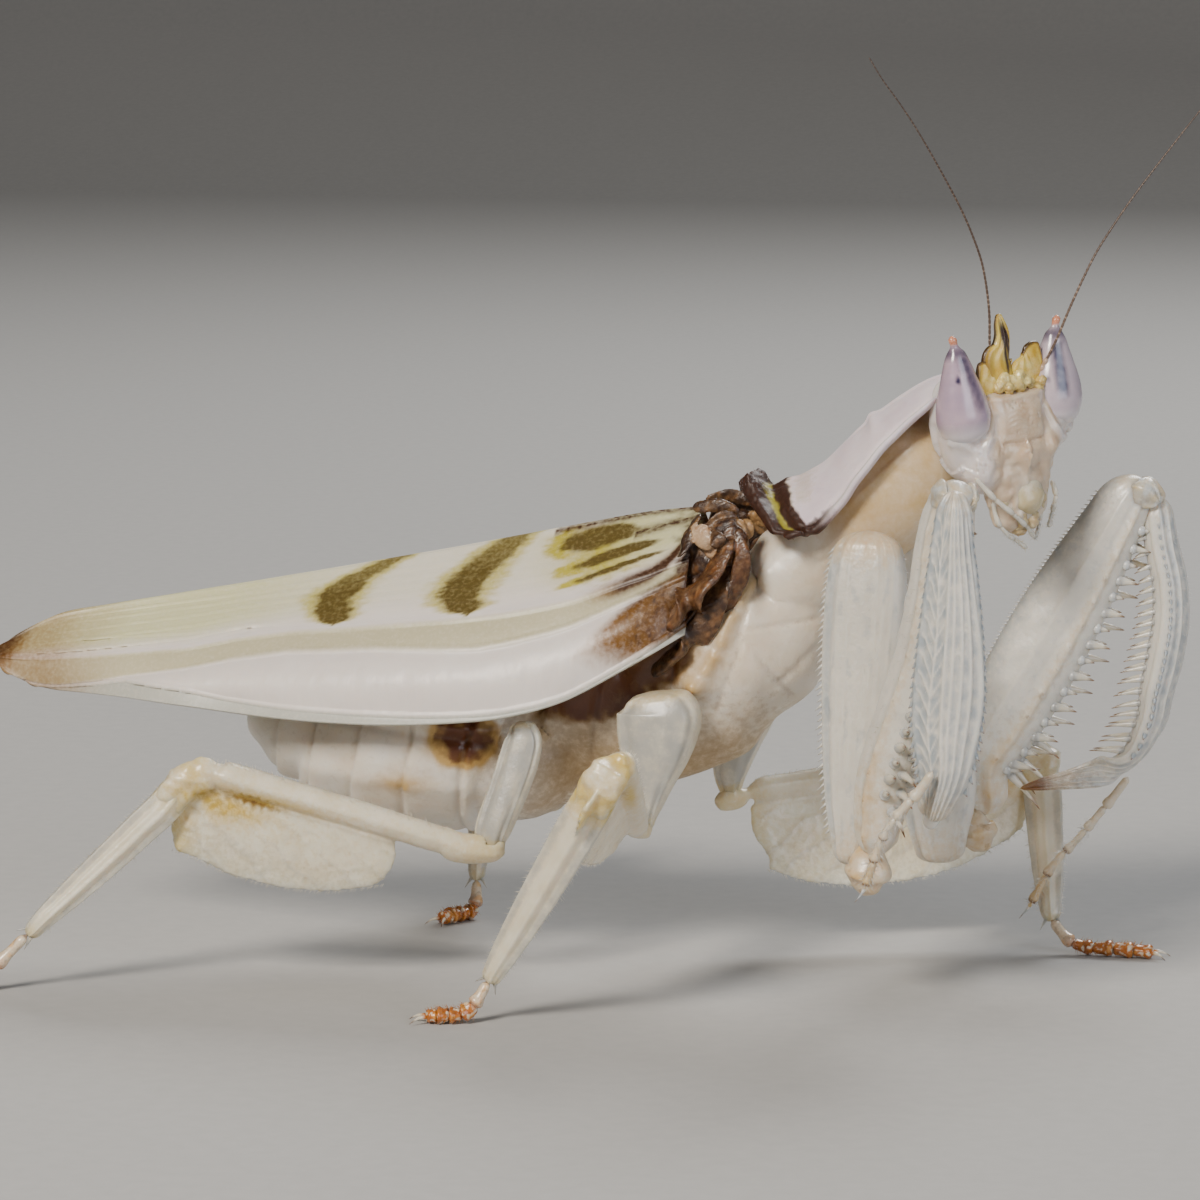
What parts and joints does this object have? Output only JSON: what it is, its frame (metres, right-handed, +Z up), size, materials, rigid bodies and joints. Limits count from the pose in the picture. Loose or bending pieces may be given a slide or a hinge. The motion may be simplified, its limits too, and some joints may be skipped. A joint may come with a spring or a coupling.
{
  "type": "orchid mantis",
  "caption": "Life-size still model of an adult female orchid mantis, standing with folded wings, petal-lobed legs and raised raptorial forelegs, head turned to its right.",
  "frame": {"origin": "middle of the animal's footprint box, on the ground under its feet", "axes": "+X the way the body points, +Y its left side, +Z up"},
  "size_m": [0.0742, 0.0414, 0.0541],
  "materials": {
    "face": "soft satin, faintly translucent cuticle",
    "eye": "glossy compound eye with a violet-grey stripe",
    "crown": "satin yellow cuticle with brown edges",
    "cuticle": "satin, translucent white cuticle",
    "antenna": "matt beaded brown cuticle",
    "neck": "satin beige cuticle",
    "pronotum": "satin pinkish white shield with a dark brown and yellow-green collar",
    "pleura": "satin white folded cuticle with brown seams",
    "abdomen": "satin creamy white cuticle with brown spots",
    "wing": "satin, veined, cream and pinkish white with olive-brown bands",
    "hindwing": "thin satin cream membrane",
    "wing_root": "glossy dark red-brown hinge plates",
    "leg": "satin, translucent white cuticle with fine ribs",
    "trochanter": "satin beige cuticle",
    "foot_pad": "matt orange-brown foot"
  },
  "bodies": {
    "root": {"head_capsule": "face", "eye_left": "eye", "eye_right": "eye", "crown_horn": "crown", "crown_lobe_left": "crown", "crown_lobe_right": "crown", "clypeus": "face", "mandibles": "face", "maxillary_palp_left": "cuticle", "maxillary_palp_right": "cuticle", "labial_palp_left": "cuticle", "labial_palp_right": "cuticle", "antenna_left": "antenna", "antenna_right": "antenna", "neck": "neck", "prothorax": "neck", "pronotum": "pronotum", "mesothorax": "pleura", "metathorax": "pleura", "abdomen_1": "abdomen", "abdomen_2": "abdomen", "abdomen_3": "abdomen", "abdomen_4": "abdomen", "abdomen_5": "abdomen", "abdomen_6": "abdomen", "cercus_left": "abdomen", "cercus_right": "abdomen", "forewing_left": "wing", "forewing_right": "wing", "hindwing_left": "hindwing", "hindwing_right": "hindwing", "wing_root_left": "wing_root", "wing_root_right": "wing_root", "foreleg_right_coxa": "leg", "foreleg_right_trochanter": "trochanter", "foreleg_right_femur": "leg", "foreleg_right_tibia": "leg", "foreleg_right_tarsus": "trochanter", "foreleg_left_coxa": "leg", "foreleg_left_trochanter": "trochanter", "foreleg_left_femur": "leg", "foreleg_left_tibia": "leg", "foreleg_left_tarsus": "trochanter", "mid_leg_right_coxa": "leg", "mid_leg_right_femur": "leg", "mid_leg_right_tibia": "leg", "mid_leg_right_tarsus": "foot_pad", "mid_leg_left_coxa": "leg", "mid_leg_left_femur": "leg", "mid_leg_left_tibia": "leg", "mid_leg_left_tarsus": "foot_pad", "hind_leg_right_coxa": "leg", "hind_leg_right_femur": "leg", "hind_leg_right_tibia": "leg", "hind_leg_right_tarsus": "foot_pad", "hind_leg_left_coxa": "leg", "hind_leg_left_femur": "leg", "hind_leg_left_tibia": "leg", "hind_leg_left_tarsus": "foot_pad"}
  },
  "joints": []
}
